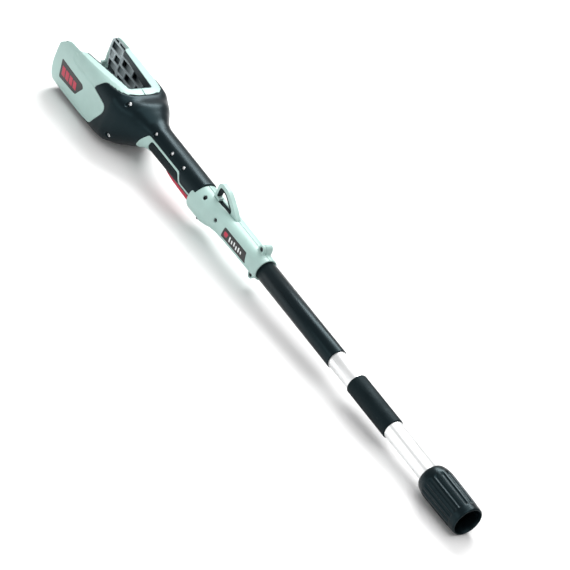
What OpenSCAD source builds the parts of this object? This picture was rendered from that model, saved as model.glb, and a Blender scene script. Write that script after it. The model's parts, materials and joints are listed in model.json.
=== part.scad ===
// Cordless power head with a telescoping pole for a pole saw.
// The frame: origin at the centre of the coupling's mouth, +X out of the mouth, +Z up.
// The pole lies along X and the battery head is at the far -X end. Right is -Y, left is +Y.

/* [Pole] */
// Outer diameter of the bright inner tube
tube_d = 32; // [30:0.5:33]
// Wall of the bright inner tube
tube_wall = 1.5; // [1:0.25:2.5]
// Outer diameter of the black outer tube
outer_tube_d = 35; // [34.5:0.5:37]
// Radial play between the inner tube and the outer tube
slide_play = 0.06; // [0.03:0.01:0.1]
// Length of the outer tube that shows in front of the collar
outer_tube_show = 210; // [160:5:260]
// Length of the outer tube inside the collar and neck
outer_tube_hidden = 176; // [150:2:176]
// Length of the front grip sleeve
front_grip_len = 104; // [70:2:140]
// Outer diameter of the front grip sleeve
front_grip_d = 36; // [35:0.5:38]
// Bright tube between the outer tube and the front grip
rear_gap = 56; // [50:1:80]
// Bright tube between the front grip and the coupling
front_gap = 102; // [60:2:140]
// Length of inner tube held inside the outer tube at rest
tube_overlap = 300; // [300:5:320]

/* [Coupling] */
// Length of the coupling nut
nut_len = 103; // [95:1:115]
// Largest diameter of the coupling nut
nut_d = 55; // [54:0.5:58]
// Diameter of the coupling nut at its mouth
mouth_d = 52; // [51.5:0.5:53]
// Radius of the socket that takes the tool
socket_r = 23.5; // [22.5:0.25:24]
// Depth of the socket
socket_depth = 50; // [46:1:51]
// Number of flutes around the nut
flute_count = 16; // [12:1:20]

/* [Collar] */
// Length of the collar
collar_len = 195; // [185:1:205]
// Radius of the collar at its rear shoulder
collar_rear_r = 27; // [26:0.5:28]
// Radius of the collar where it grips the outer tube
collar_front_r = 20.3; // [20:0.1:21.5]
// Wall of the collar shells
collar_wall = 2.4; // [2:0.2:2.6]

/* [Neck] */
// Length of the grip neck
neck_len = 135; // [130:1:140]
// Radius of the grip neck
neck_r = 22.8; // [22:0.2:23.4]
// Wall of the housing shells
housing_wall = 2.6; // [2:0.2:3]

/* [Head] */
// Half of the head's width
head_half_w = 57; // [55:0.5:59]
// Half of the inside width of the battery bay
bay_half_w = 38; // [36:0.5:39]
// Height of the battery bay's floor
bay_floor_z = -46; // [-48:1:-42]
// Height of the flat that the head rests on
foot_z = -66; // [-67:0.5:-64]

/* [Trigger] */
// Width of the trigger
trigger_w = 14; // [12:1:14]
// Diameter of the lock button
lock_button_d = 14; // [12:1:14]

/* [Hidden] */
$fn = 64;
eps = 0.01;
gap = 0.3;
far = 400;
light_grey = [0.72, 0.82, 0.79];
black_plastic = [0.1, 0.12, 0.13];
soft_black = [0.16, 0.18, 0.18];
bright_metal = [0.86, 0.88, 0.88];

// Stations along X, worked back from the mouth
nut_x = -nut_len;
grip_front_x = nut_x - front_gap;
grip_rear_x = grip_front_x - front_grip_len;
outer_front_x = grip_rear_x - rear_gap;
collar_x = outer_front_x - outer_tube_show;
shoulder_x = collar_x - collar_len;
bulb_x = shoulder_x - neck_len;
bay_x = bulb_x - 95;
head_x = bulb_x - 242;
outer_rear_x = collar_x - outer_tube_hidden;
tube_rear_x = outer_front_x - tube_overlap;

tube_r = tube_d / 2;
outer_r = outer_tube_d / 2;
outer_bore_r = tube_r + slide_play;
tube_bore_r = tube_r - tube_wall;

// ---------- Lofted shells ----------

// One rounded-square section: points at x around (0, zc) with half sizes a, b and squareness e
function section(s, grow, n) = [
  for (i = [0:n - 1])
    let (t = 360 * (i + 0.5) / n, c = cos(t), d = sin(t), a = s[2] + grow, b = s[3] + grow)
    [s[0], a * sign(c) * pow(abs(c), 2 / s[4]), s[1] + b * sign(d) * pow(abs(d), 2 / s[4])]
];

// Side faces between neighbouring sections, and the two end faces
function loft_faces(m, n) = concat(
  [for (k = [0:m - 2], i = [0:n - 1]) let (j = (i + 1) % n) [k * n + i, (k + 1) * n + j, k * n + j]],
  [for (k = [0:m - 2], i = [0:n - 1]) let (j = (i + 1) % n) [k * n + i, (k + 1) * n + i, (k + 1) * n + j]],
  [[for (i = [0:n - 1]) i]],
  [[for (i = [n - 1:-1:0]) (m - 1) * n + i]]
);

module loft(stations, grow = 0, n = 24) {
  m = len(stations);
  polyhedron(
    points = [for (s = stations, p = section(s, grow, n)) p],
    faces = loft_faces(m, n)
  );
}

// Housing stations from the head forward: x, centre z, half width, half height, squareness
housing_stations = [
  [head_x - 10, -14, head_half_w - 1, 54, 4],
  [bay_x - 60, -14, head_half_w, 54, 4],
  [bay_x - 8, -14, head_half_w, 53.5, 4],
  [bulb_x - 80, -13, head_half_w, 51, 4],
  [bulb_x - 61, -11.5, head_half_w - 4, 46.5, 3.2],
  [bulb_x - 41, -6, head_half_w - 13.5, 42, 2.6],
  [bulb_x - 27, -4, 35, 35, 2.3],
  [bulb_x - 10, -2, 26, 26.5, 2.2],
  [bulb_x + 5, -1, neck_r + 0.4, neck_r + 0.8, 2.2],
  [bulb_x + 60, -1, neck_r, neck_r + 0.4, 2.2],
  [shoulder_x + 8, -1, neck_r - 0.4, neck_r, 2.2]
];

// Collar stations from its shoulder forward
collar_stations = [
  [shoulder_x, -8, collar_rear_r - 0.6, collar_rear_r - 0.6, 2],
  [shoulder_x + 3, -8, collar_rear_r, collar_rear_r, 2],
  [shoulder_x + 34, -8, collar_rear_r, collar_rear_r, 2],
  [shoulder_x + 44, -7, 25.6, 25.8, 2],
  [shoulder_x + 57, -4.4, 23.6, 23.8, 2],
  [shoulder_x + 66, -2.2, 22.4, 22.4, 2],
  [shoulder_x + 80, -1, 21.6, 21.6, 2],
  [collar_x - 40, 0, collar_front_r + 0.2, collar_front_r + 0.2, 2],
  [collar_x, 0, collar_front_r, collar_front_r, 2]
];

// Side outline of the head set in by k, as [x, z]: the rounded rear end and the sloping top
rim_front_z = 38;
rim_rear_z = 27.5;
function head_outline(k) = [
  [head_x + 18 + k, rim_rear_z - k], [head_x + 2 + k, 15.5], [head_x + k, 12], [head_x + k, -24],
  [head_x + 6 + k, -50], [head_x + 12 + k, foot_z + k], [shoulder_x + 20, foot_z + k],
  [shoulder_x + 20, rim_front_z - k], [bulb_x - 80, rim_front_z - k]
];
// Height of the sloping top at x
function rim_z(x) = rim_rear_z + (x - head_x - 18) * (rim_front_z - rim_rear_z) / (bulb_x - 80 - head_x - 18);

// Side outline of the light cheek covers: side panel, and the rim along the top of the bay
cheek_outline = [
  [head_x - 20, 60], [head_x - 20, -46], [head_x + 13, -60], [bulb_x - 157, -61], [bulb_x - 110, -52],
  [bulb_x - 87, -14], [bulb_x - 85, -4], [bulb_x - 89, 3], [bulb_x - 127, 10], [bulb_x - 113, 30],
  [bulb_x - 66.5, 35], [bulb_x - 66.5, 60]
];

// Prism along Y from an outline of [x, z] points
module side_prism(outline, y0, y1) {
  translate([0, y1, 0]) rotate([90, 0, 0]) linear_extrude(y1 - y0) polygon(outline);
}

// Everything on one side of the middle plane: side -1 is right, +1 is left
module half_space(side, x0, x1) {
  translate([x0, side > 0 ? 0 : -far / 2, -far / 2]) cube([x1 - x0, far / 2, far]);
}

// Plan of the opening over the battery bay: a wide mouth at the rear, a step, then narrowing to the front
step_x = bay_x - 98;
mouth_half_w = 48;
bay_plan = [
  [head_x - 20, -mouth_half_w], [step_x, -mouth_half_w], [step_x, -36], [bay_x + 10, -21],
  [bay_x + 10, 21], [step_x, 36], [step_x, mouth_half_w], [head_x - 20, mouth_half_w]
];

// Room for the battery, its liners and its floor
liner_wall = 4;
bay_out_w = bay_half_w + liner_wall;
floor_t = 4;
plate_t = 2;
mouth_out_w = mouth_half_w + plate_t;
mouth_z = -30;
module bay_room() {
  translate([head_x - 30, -bay_out_w, bay_floor_z - floor_t])
    cube([bay_x - head_x + 30, 2 * bay_out_w, 24 - bay_floor_z + floor_t]);
  linear_extrude(100) polygon(bay_plan);
  translate([head_x - 30, -mouth_out_w, mouth_z])
    cube([step_x + plate_t - head_x + 30, 2 * mouth_out_w, 20 - mouth_z]);
}

cheek_wall = 2.6;

// Body of the head and neck with its surface set in by k
module head_solid(k) {
  intersection() {
    loft(housing_stations, -k);
    side_prism(head_outline(k), -far / 2, far / 2);
  }
}

// Places of the neck screws, the trigger and the lock button
neck_screw_x = [bulb_x + 6, bulb_x + 56, bulb_x + 92];
screw_z = 14;
neck_floor_y = 14;
screw_r = 3.4;
trigger_x0 = bulb_x + 46;
trigger_x1 = shoulder_x - 3;
trigger_half_w = trigger_w / 2;
pivot_x = trigger_x0 + 5;
pivot_z = -17;
lock_x = bulb_x + 58;
lock_z = -3;
lock_r = lock_button_d / 2;

pin_r = 2;
pin_len = trigger_w + 6;

// Hole for the lock button, on the left only
module lock_hole() {
  translate([lock_x, 0, lock_z]) rotate([-90, 0, 0]) cylinder(r = lock_r + 0.3, h = far);
}

module trigger_slot() {
  translate([trigger_x0 - 3, -trigger_half_w - 1, -60])
    cube([trigger_x1 - trigger_x0 + 6, 2 * trigger_half_w + 2, 48]);
}

// Outline of the grip panel on the neck's lower sides
panel_outline = [
  [bulb_x - 30, -80], [bulb_x - 24, -30], [bulb_x - 18, -4], [bulb_x - 8, 7.6], [bulb_x + 92, 7.6],
  [bulb_x + 102, -6.5], [shoulder_x + 6, -6.5], [shoulder_x + 6, -80]
];
insert_outline = [
  [bulb_x + 2, -80], [bulb_x + 4, -12], [bulb_x + 10, 4], [bulb_x + 90, 4],
  [bulb_x + 100, -10], [shoulder_x + 20, -10], [shoulder_x + 20, -80]
];

// Screws from the right, as [x, z, distance of the seat from the middle plane]
head_screws_at = [[bulb_x - 56, 28, 34], [bulb_x - 62, -38, 46]];
neck_screws_at = [for (x = neck_screw_x) [x, screw_z, neck_floor_y]];
collar_screws_at = [[shoulder_x + 28, 13, 15], [shoulder_x + 28, -29, 15], [shoulder_x + 72, 3, 20]];

// Counterbored holes on the right for the screws of a list
module screw_seats(places, r_head, r_shank) {
  for (p = places) {
    translate([p[0], -p[2], p[1]]) rotate([90, 0, 0]) cylinder(r = r_head, h = far);
    translate([p[0], -p[2] + 12, p[1]]) rotate([90, 0, 0]) cylinder(r = r_shank, h = far);
  }
}

module housing(side) {
  color(black_plastic)
    intersection() {
      half_space(side, head_x - 20, shoulder_x + 10);
      difference() {
        head_solid(0);
        head_solid(housing_wall + cheek_wall);
        // Seat for the cheek cover
        difference() {
          side_prism(cheek_outline, -far / 2, far / 2);
          head_solid(cheek_wall + 0.1);
        }
        // Seat for the grip panel
        difference() {
          side_prism(panel_outline, -far / 2, far / 2);
          loft(housing_stations, -2.1);
        }
        bay_room();
        trigger_slot();
        screw_seats(head_screws_at, 4.2, 1.7);
        screw_seats(neck_screws_at, screw_r + 0.2, 1.6);
        lock_hole();
        // Seats of the trigger's pin
        translate([pivot_x, 0, pivot_z]) rotate([90, 0, 0])
          cylinder(r = pin_r + 0.02, h = pin_len + 0.4, center = true);
      }
    }
}

module cheek(side) {
  color(light_grey)
    intersection() {
      half_space(side, head_x - 20, bay_x + 60);
      side_prism(cheek_outline, -far / 2, far / 2);
      difference() {
        head_solid(0);
        head_solid(cheek_wall);
        bay_room();
      }
    }
}

// ---------- Battery bay ----------

rib_t = 2;
rib_depth = 2.4;
liner_x0 = head_x + 20;
mouth_x0 = head_x + 4;
liner_x1 = bay_x - liner_wall;
rib_z = [-34, -18, -2, 12];
cross_rib_step = 33;

liner_drop = 5.4;

// Side outline of a liner, under the sloping rim
module liner_prism(y0, y1) {
  side_prism([
    [liner_x0 + 10, bay_floor_z], [liner_x0, mouth_z], [step_x, mouth_z],
    [step_x, rim_z(step_x) - liner_drop], [liner_x1, rim_z(liner_x1) - liner_drop], [liner_x1, bay_floor_z]
  ], y0, y1);
}

// Plate of the wide mouth behind the step, with the step's own face
module mouth_plate(side) {
  y0 = side > 0 ? mouth_half_w : -mouth_out_w + 0.05;
  side_prism([
    [mouth_x0 + 12, mouth_z + 0.05], [mouth_x0 + 4, -2], [mouth_x0, 14], [mouth_x0 + 6, 19.9],
    [step_x + plate_t - 0.05, 19.9], [step_x + plate_t - 0.05, mouth_z + 0.05]
  ], y0, y0 + plate_t - 0.05);
  translate([step_x, side > 0 ? bay_half_w + 1 : -mouth_half_w - 1, mouth_z + 0.05])
    cube([plate_t - 0.05, mouth_half_w - bay_half_w, 19.9 - mouth_z]);
}

// Liner of one side of the bay: a thin wall with ribs on its inner face
module bay_liner(side) {
  wall_in = bay_half_w + rib_depth;
  wall_out = bay_out_w - 0.05;
  color(black_plastic)
    intersection() {
      head_solid(housing_wall + cheek_wall + 0.1);
      union() {
        liner_prism(side > 0 ? wall_in : -wall_out, side > 0 ? wall_out : -wall_in);
        mouth_plate(side);
        intersection() {
          liner_prism(side > 0 ? bay_half_w : -wall_out, side > 0 ? wall_out : -bay_half_w);
          union() {
            for (z = rib_z)
              translate([liner_x0 - 1, -far / 2, z]) cube([liner_x1 - liner_x0 + 2, far, rib_t]);
            for (x = [liner_x0 + 8:cross_rib_step:liner_x1])
              translate([x, -far / 2, bay_floor_z]) cube([rib_t, far, 80]);
          }
        }
      }
    }
}

// Floor and front wall of the bay
module bay_floor() {
  color(black_plastic) {
    translate([liner_x0 + 10, -bay_out_w + 0.1, bay_floor_z - floor_t + 0.05])
      cube([bay_x - liner_x0 - 10, 2 * bay_out_w - 0.2, floor_t - 0.1]);
    translate([bay_x - liner_wall + 0.05, -bay_out_w + 0.1, bay_floor_z - 0.1])
      cube([liner_wall - 0.1, 2 * bay_out_w - 0.2, 69]);
  }
}

block_x = bay_x - liner_wall;
module terminal_block() {
  color(black_plastic)
    difference() {
      translate([block_x - 14, -24, bay_floor_z + 0.05]) cube([14, 48, 16]);
      for (y = [-18:12:18])
        translate([block_x - 15, y - 1.6, bay_floor_z + 5]) cube([13, 3.2, 9]);
    }
}

module terminal_blades() {
  color(bright_metal)
    for (y = [-18:12:18])
      translate([block_x - 12, y - 0.4, bay_floor_z + 6]) cube([10, 0.8, 7]);
}

badge_x = (head_x + bay_x) / 2 - 20;
module badge(side) {
  color("crimson")
    intersection() {
      side_prism([
        [badge_x - 32.5, -4], [badge_x + 35.5, -6], [badge_x + 40.5, -11],
        [badge_x + 26.5, -33], [badge_x - 25.5, -36.5]
      ], side > 0 ? 0 : -far / 2, side > 0 ? far / 2 : 0);
      difference() {
        loft(housing_stations, 0.7);
        loft(housing_stations, 0.02);
      }
    }
}

// ---------- Neck ----------

module grip_trim() {
  color(light_grey)
    intersection() {
      side_prism(panel_outline, -far / 2, far / 2);
      translate([bulb_x - 40, -100, -100]) cube([shoulder_x - gap - bulb_x + 40, 200, 200]);
      difference() {
        loft(housing_stations, 0.3);
        loft(housing_stations, -2);
        side_prism(insert_outline, -far / 2, far / 2);
        trigger_slot();
        lock_hole();
      }
    }
}

module grip_insert() {
  color(soft_black)
    intersection() {
      translate([bulb_x - 40, -100, -100]) cube([shoulder_x - gap - bulb_x + 40, 200, 200]);
      difference() {
        side_prism(insert_outline, -far / 2, far / 2);
        loft(housing_stations, -2);
        trigger_slot();
        lock_hole();
      }
      loft(housing_stations, 0.2);
    }
}

module trigger() {
  color("crimson")
    difference() {
      side_prism([
        [trigger_x0, -16], [trigger_x0 + 4, -12.5], [trigger_x0 + 10, -14], [trigger_x1, -15],
        [trigger_x1, -30.5], [trigger_x1 - 4, -32], [trigger_x1 - 32, -31], [trigger_x0 + 20, -29.5],
        [trigger_x0 + 3, -26.5], [trigger_x0, -23]
      ], -trigger_half_w, trigger_half_w);
      translate([pivot_x, 0, pivot_z]) rotate([90, 0, 0]) cylinder(r = pin_r + 0.05, h = 40, center = true);
      translate([spring_x, 0, -22]) cylinder(r = 3.6, h = 20);
    }
}

module trigger_pin() {
  color(bright_metal)
    translate([pivot_x, 0, pivot_z]) rotate([90, 0, 0]) cylinder(r = pin_r, h = pin_len, center = true);
}

// Helical wire spring along Z from z0 to z1
module wire_spring(r, wire, turns, z0, z1) {
  steps = 12;
  n = turns * steps;
  sides = 6;
  polyhedron(
    points = [
      for (k = [0:n], i = [0:sides - 1])
        let (t = 360 * k / steps, a = 360 * i / sides, q = r + wire / 2 * cos(a))
        [q * cos(t), q * sin(t), z0 + wire / 2 + (z1 - z0 - wire) * k / n + wire / 2 * sin(a)]
    ],
    faces = concat(
      [for (k = [0:n - 1], i = [0:sides - 1])
        let (j = (i + 1) % sides) [k * sides + i, (k + 1) * sides + i, (k + 1) * sides + j]],
      [for (k = [0:n - 1], i = [0:sides - 1])
        let (j = (i + 1) % sides) [k * sides + i, (k + 1) * sides + j, k * sides + j]],
      [[for (i = [0:sides - 1]) i]],
      [[for (i = [sides - 1:-1:0]) n * sides + i]]
    )
  );
}

spring_x = trigger_x0 + 64;
plunger_x = trigger_x0 + 40;
switch_z = -6;
module trigger_spring() {
  color(bright_metal) translate([spring_x, 0, 0]) wire_spring(2.6, 0.6, 6, -21.9, -3.4);
}

switch_top_z = 16;
switch_len = 44;
module switch_body() {
  color(soft_black)
    difference() {
      union() {
        translate([plunger_x - 12, -9, switch_z]) cube([switch_len, 18, switch_top_z - switch_z - 3]);
        // Arm behind the lock button's spring
        translate([lock_x - 9, 6.8, lock_z - 6]) cube([plunger_x - 12 - lock_x + 10, 2.2, 11]);
      }
      translate([plunger_x, 0, switch_z - 1]) cylinder(r = 3.06, h = 10);
      translate([spring_x, 0, switch_z - 1]) cylinder(r = 3.6, h = 3.6);
    }
}

module switch_plunger() {
  color("gainsboro") translate([plunger_x, 0, -13.8]) cylinder(r = 3, h = 11.8);
}

module plunger_spring() {
  color(bright_metal) translate([plunger_x, 0, 0]) wire_spring(1.8, 0.4, 5, -1.9, 2.95);
}

lock_out_y = 24.2;
module lock_button() {
  color("crimson")
    translate([lock_x, 0, lock_z]) rotate([-90, 0, 0]) {
      translate([0, 0, 16]) cylinder(r = lock_r, h = lock_out_y - 16);
      translate([0, 0, 14]) cylinder(r = 3, h = 2.5);
    }
}

module lock_spring() {
  color(bright_metal)
    translate([lock_x, 0, lock_z]) rotate([-90, 0, 0]) wire_spring(3.9, 0.5, 4, 9.3, 15.95);
}

// ---------- Collar ----------

ear_x = collar_x - 22;
ear_z = 25.5;
ear_r = 7;
ear_half_t = 6;

module collar(side) {
  color(light_grey)
    intersection() {
      half_space(side, shoulder_x - 1, collar_x + 1);
      difference() {
        union() {
          loft(collar_stations, 0);
          for (s = [-1, 1]) {
            translate([ear_x, 0, s * ear_z]) rotate([90, 0, 0])
              cylinder(r = ear_r, h = 2 * ear_half_t, center = true);
            translate([ear_x - ear_r, -ear_half_t, s > 0 ? 0 : -ear_z])
              cube([2 * ear_r, 2 * ear_half_t, ear_z]);
          }
        }
        // Hollow rear part that takes the neck's end
        intersection() {
          loft(collar_stations, -collar_wall);
          translate([shoulder_x - 5, -100, -100]) cube([70, 200, 200]);
        }
        translate([shoulder_x - 5, 0, -1]) rotate([0, 90, 0]) cylinder(r = neck_r + 1, h = 13.3);
        // Seat of the outer tube
        translate([outer_rear_x - 60, 0, 0]) rotate([0, 90, 0]) cylinder(r = outer_r, h = 300);
        // Seat of the strap eye
        translate([eye_x0 - 0.05, -eye_half_t - 0.05, 17.2])
          cube([eye_x1 - eye_x0 + 0.1, 2 * eye_half_t + 0.1, 20]);
        screw_seats(collar_screws_at, 4.2, 1.5);
        for (s = [-1, 1]) {
          translate([ear_x, 0, s * ear_z]) rotate([90, 0, 0]) cylinder(r = 2.1, h = far, center = true);
          translate([ear_x, side * 3.4, s * ear_z]) rotate([-90 * side, 0, 0]) cylinder(r = 4, h = far);
        }
      }
    }
}

eye_x0 = shoulder_x + 32;
eye_x1 = shoulder_x + 99;
eye_half_t = 4.5;
module strap_eye() {
  color(light_grey)
    side_prism([
      [eye_x0, 17.6], [eye_x0, 40], [eye_x0 + 1.5, 44], [eye_x0 + 5, 47], [eye_x0 + 10, 48],
      [eye_x0 + 22, 47.5], [eye_x0 + 30, 45], [eye_x0 + 55, 31], [eye_x1, 21], [eye_x1, 17.6],
      [eye_x0 + 48, 17.6], [eye_x0 + 48, 25.5], [eye_x0 + 25, 39], [eye_x0 + 18, 40.6],
      [eye_x0 + 11, 41], [eye_x0 + 7.5, 39.5], [eye_x0 + 6.5, 36], [eye_x0 + 6.5, 23], [eye_x0 + 14, 23],
      [eye_x0 + 14, 17.6]
    ], -eye_half_t, eye_half_t);
}

label_x0 = shoulder_x + 97;
label_x1 = shoulder_x + 166;
module side_label() {
  color(black_plastic)
    intersection() {
      side_prism([[label_x0, 9.5], [label_x1 - 6, 9.5], [label_x1, -8], [label_x0 - 2, -9]], -far / 2, 0);
      difference() {
        loft(collar_stations, 0.6);
        loft(collar_stations, 0.02);
      }
    }
}

// ---------- Screws ----------

// Pan-head screw from the right, at p = [x, z, distance of its seat from the middle plane]
module screw(p, r_head, r_shank, length) {
  translate([p[0], -p[2] - 0.05, p[1]]) rotate([-90, 0, 0]) {
    difference() {
      translate([0, 0, -2.2]) cylinder(r = r_head, h = 2.2);
      translate([0, 0, -2.3]) cylinder(r = r_head / 2.2, h = 1.3, $fn = 6);
    }
    cylinder(r = r_shank, h = length);
  }
}

module housing_screws() {
  color(bright_metal) for (p = head_screws_at) screw(p, 4, 1.6, 8);
}

module neck_screws() {
  color(bright_metal) for (p = neck_screws_at) screw(p, screw_r, 1.5, 4);
}

module collar_screws() {
  color(bright_metal) for (p = collar_screws_at) screw(p, 2.8, 1.4, 2);
}

module clamp_screws() {
  color(bright_metal) for (s = [-1, 1]) screw([ear_x, s * ear_z, 3.35], 3.7, 2, 10);
}

module clamp_nuts() {
  color(bright_metal)
    for (s = [-1, 1])
      translate([ear_x, 3.45, s * ear_z]) rotate([-90, 0, 0])
        difference() {
          cylinder(r = 3.9, h = 2.4, $fn = 6);
          translate([0, 0, -1]) cylinder(r = 2.02, h = 5);
        }
}

// ---------- Tubes ----------

module tube_x(x0, x1, r_out, r_in) {
  translate([x0, 0, 0]) rotate([0, 90, 0])
    difference() {
      cylinder(r = r_out, h = x1 - x0);
      translate([0, 0, -1]) cylinder(r = r_in, h = x1 - x0 + 2);
    }
}

lip_len = 12;
module outer_tube() {
  color(black_plastic)
    difference() {
      tube_x(outer_rear_x, outer_front_x, outer_r - eps, outer_bore_r + 0.6);
      tube_x(outer_front_x - lip_len, outer_front_x + 1, outer_r - 0.5, 0.1);
    }
}

// Plastic bush in the outer tube's mouth, a running fit on the inner tube
module end_bush() {
  color(soft_black)
    tube_x(outer_front_x - lip_len + 0.05, outer_front_x, outer_r - 0.55, outer_bore_r);
}

module inner_tube() {
  color(bright_metal)
    difference() {
      tube_x(tube_rear_x, nut_x + 40, tube_r, tube_bore_r);
      hub_screw_shapes(1.52);
    }
}

// Split bush at the inner tube's rear end, which rubs in the outer tube
module slide_bush() {
  color(soft_black)
    difference() {
      tube_x(tube_rear_x - 18, tube_rear_x - 0.05, outer_bore_r + 0.54, tube_bore_r - 2);
      translate([tube_rear_x - 20, -1, 0]) cube([14, 2, 40]);
    }
}

module front_grip() {
  color(black_plastic)
    translate([grip_rear_x, 0, 0]) rotate([0, 90, 0])
      rotate_extrude($fn = 96)
        polygon([
          [tube_r + 0.02, 0], [front_grip_d / 2 - 0.8, 0], [front_grip_d / 2, 0.8],
          [front_grip_d / 2, front_grip_len - 0.8], [front_grip_d / 2 - 0.8, front_grip_len],
          [tube_r + 0.02, front_grip_len]
        ]);
}

// ---------- Coupling ----------

hub_rear_x = nut_x + 6;
hub_front_x = -socket_depth - 1.6;
hub_len = hub_front_x - hub_rear_x;
hub_r = 22;
flange_r = 24.6;
flange_t = 9;
seal_r = 20.6;
hub_screw_x = nut_x + 20;

module hub_screw_shapes(r) {
  for (a = [0, 180])
    rotate([a, 0, 0]) translate([hub_screw_x, 0, tube_bore_r - 1.5]) cylinder(r = r, h = 8.5);
}

// Hub fixed on the inner tube's end, with a flange that the nut bears on and a seal groove in front
module coupling_hub() {
  color(soft_black)
    difference() {
      translate([hub_rear_x, 0, 0]) rotate([0, 90, 0])
        rotate_extrude($fn = 96)
          polygon([
            [tube_r + 0.02, 0], [hub_r - 1, 0], [hub_r, 1], [hub_r, hub_len - flange_t],
            [flange_r, hub_len - flange_t], [flange_r, hub_len], [seal_r + 1.4, hub_len],
            [seal_r + 1.4, hub_len - 1.65], [seal_r - 1.4, hub_len - 1.65], [seal_r - 1.4, hub_len],
            [tube_r + 0.02, hub_len]
          ]);
      hub_screw_shapes(1.52);
    }
}

module hub_screws() {
  color(bright_metal) hub_screw_shapes(1.5);
}

module nut_retainer() {
  color(bright_metal)
    translate([nut_x + 4.2, 0, 0]) rotate([0, 90, 0])
      difference() {
        cylinder(r = 18.6, h = 1.4);
        translate([0, 0, -1]) cylinder(r = tube_r + 0.02, h = 4);
        translate([0, -1.5, -1]) cube([30, 3, 4]);
      }
}

module o_ring() {
  color(soft_black)
    translate([hub_front_x - 0.3, 0, 0]) rotate([0, 90, 0])
      rotate_extrude($fn = 96) translate([seal_r, 0]) circle(r = 1.3, $fn = 24);
}

core_r = tube_bore_r - 0.05;
pin_ring_r = 7;

// Places of the four contact pins, from x0 with length h
module pin_shapes(r, x0, h) {
  for (a = [0:90:270])
    rotate([a, 0, 0]) translate([x0, 0, pin_ring_r]) rotate([0, 90, 0]) cylinder(r = r, h = h);
}

module connector_core() {
  color(black_plastic)
    difference() {
      translate([nut_x + 12, 0, 0]) rotate([0, 90, 0]) cylinder(r = core_r, h = 30);
      pin_shapes(1.52, nut_x + 11, 32);
      hub_screw_shapes(1.52);
    }
}

module contact_pins() {
  color([0.85, 0.7, 0.35]) pin_shapes(1.5, nut_x + 10, 40);
}

coil_r = 9;
coil_bore_r = 4.5;
// Rear end of the coil, far enough forward to slide over the splice's stub when the pole is pushed in
coil_x0 = outer_rear_x + 46;
module coil_lead() {
  color("dimgray") tube_x(coil_x0, nut_x + 9, coil_r, coil_bore_r);
}

flute_x0 = nut_x + 22;
flute_x1 = -16;
flute_r = 5;
flute_depth = 1.3;
module coupling_nut() {
  color(black_plastic)
    difference() {
      translate([nut_x, 0, 0]) rotate([0, 90, 0])
        rotate_extrude($fn = 96)
          polygon([
            [tube_r + 0.35, 0], [18.5, 0], [21, 1.2], [23.2, 3.6], [25, 7.5], [26.3, 12.5],
            [nut_d / 2 - 0.3, 18], [nut_d / 2, 24], [nut_d / 2 - 0.3, 60], [mouth_d / 2 + 0.2, nut_len - 6],
            [mouth_d / 2, nut_len - 2], [socket_r + 1, nut_len], [socket_r, nut_len],
            [socket_r, nut_len - socket_depth], [flange_r + 0.4, nut_len - socket_depth],
            [flange_r + 0.4, hub_len - flange_t + 5.6], [hub_r + 0.4, hub_len - flange_t + 5.6],
            [hub_r + 0.4, 5.7], [19, 5.7],
            [19, 4], [tube_r + 0.35, 4]
          ]);
      for (i = [0:flute_count - 1])
        rotate([(i + 0.5) * 360 / flute_count, 0, 0]) {
          translate([flute_x0, 0, nut_d / 2 + flute_r - flute_depth]) rotate([0, 90, 0])
            cylinder(r = flute_r, h = flute_x1 - flute_x0);
          translate([flute_x0, 0, nut_d / 2 + flute_r - flute_depth]) sphere(r = flute_r);
        }
    }
}

// ---------- Electrics inside the housing ----------

board_x0 = bay_x + 8;
board_len = 36;
board_half_w = 22;
board_z = -36;
board_t = 1.6;
module control_board() {
  color("darkgreen")
    translate([board_x0, -board_half_w, board_z]) cube([board_len, 2 * board_half_w, board_t]);
}

board_top_z = board_z + board_t + 0.05;
module board_parts() {
  color("silver") {
    translate([board_x0 + 6, -18, board_top_z]) cube([3, 36, 16]);
    for (y = [-10, 6]) translate([board_x0 + 20, y, board_top_z]) cylinder(r = 5, h = 18);
    translate([board_x0 + 27, -5, board_top_z]) cube([7, 8, 4]);
  }
}

// Leads from the board along the neck to the splice behind the outer tube
lead_r = 1.6;
lead_y = 12.5;
lead_z = -6;
lead_step_x = 5;
lead_step_z = 8;
lead_x0 = board_x0 + 32;
splice_x = outer_rear_x - 4;
module lead(x0, z) {
  translate([x0, -lead_y, board_top_z]) cylinder(r = lead_r, h = z - board_top_z, $fn = 24);
  translate([x0, -lead_y, z]) sphere(r = lead_r, $fn = 24);
  translate([x0, -lead_y, z]) rotate([0, 90, 0]) cylinder(r = lead_r, h = splice_x - 3 - x0, $fn = 24);
}

module wiring_loom() {
  color("firebrick") {
    lead(lead_x0, lead_z);
    lead(lead_x0 - lead_step_x, lead_z + lead_step_z);
    translate([splice_x - 5, -14, -8]) cube([5, 28, 13]);
    translate([splice_x - 1, 0, 0]) rotate([0, 90, 0])
      cylinder(r = coil_bore_r - 0.5, h = coil_x0 + 5 - splice_x);
  }
}

// ---------- Right and left pieces ----------

module housing_right() { housing(-1); }
module housing_left() { housing(1); }
module cheek_right() { cheek(-1); }
module cheek_left() { cheek(1); }
module bay_liner_right() { bay_liner(-1); }
module bay_liner_left() { bay_liner(1); }
module badge_right() { badge(-1); }
module badge_left() { badge(1); }
module collar_right() { collar(-1); }
module collar_left() { collar(1); }

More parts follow.
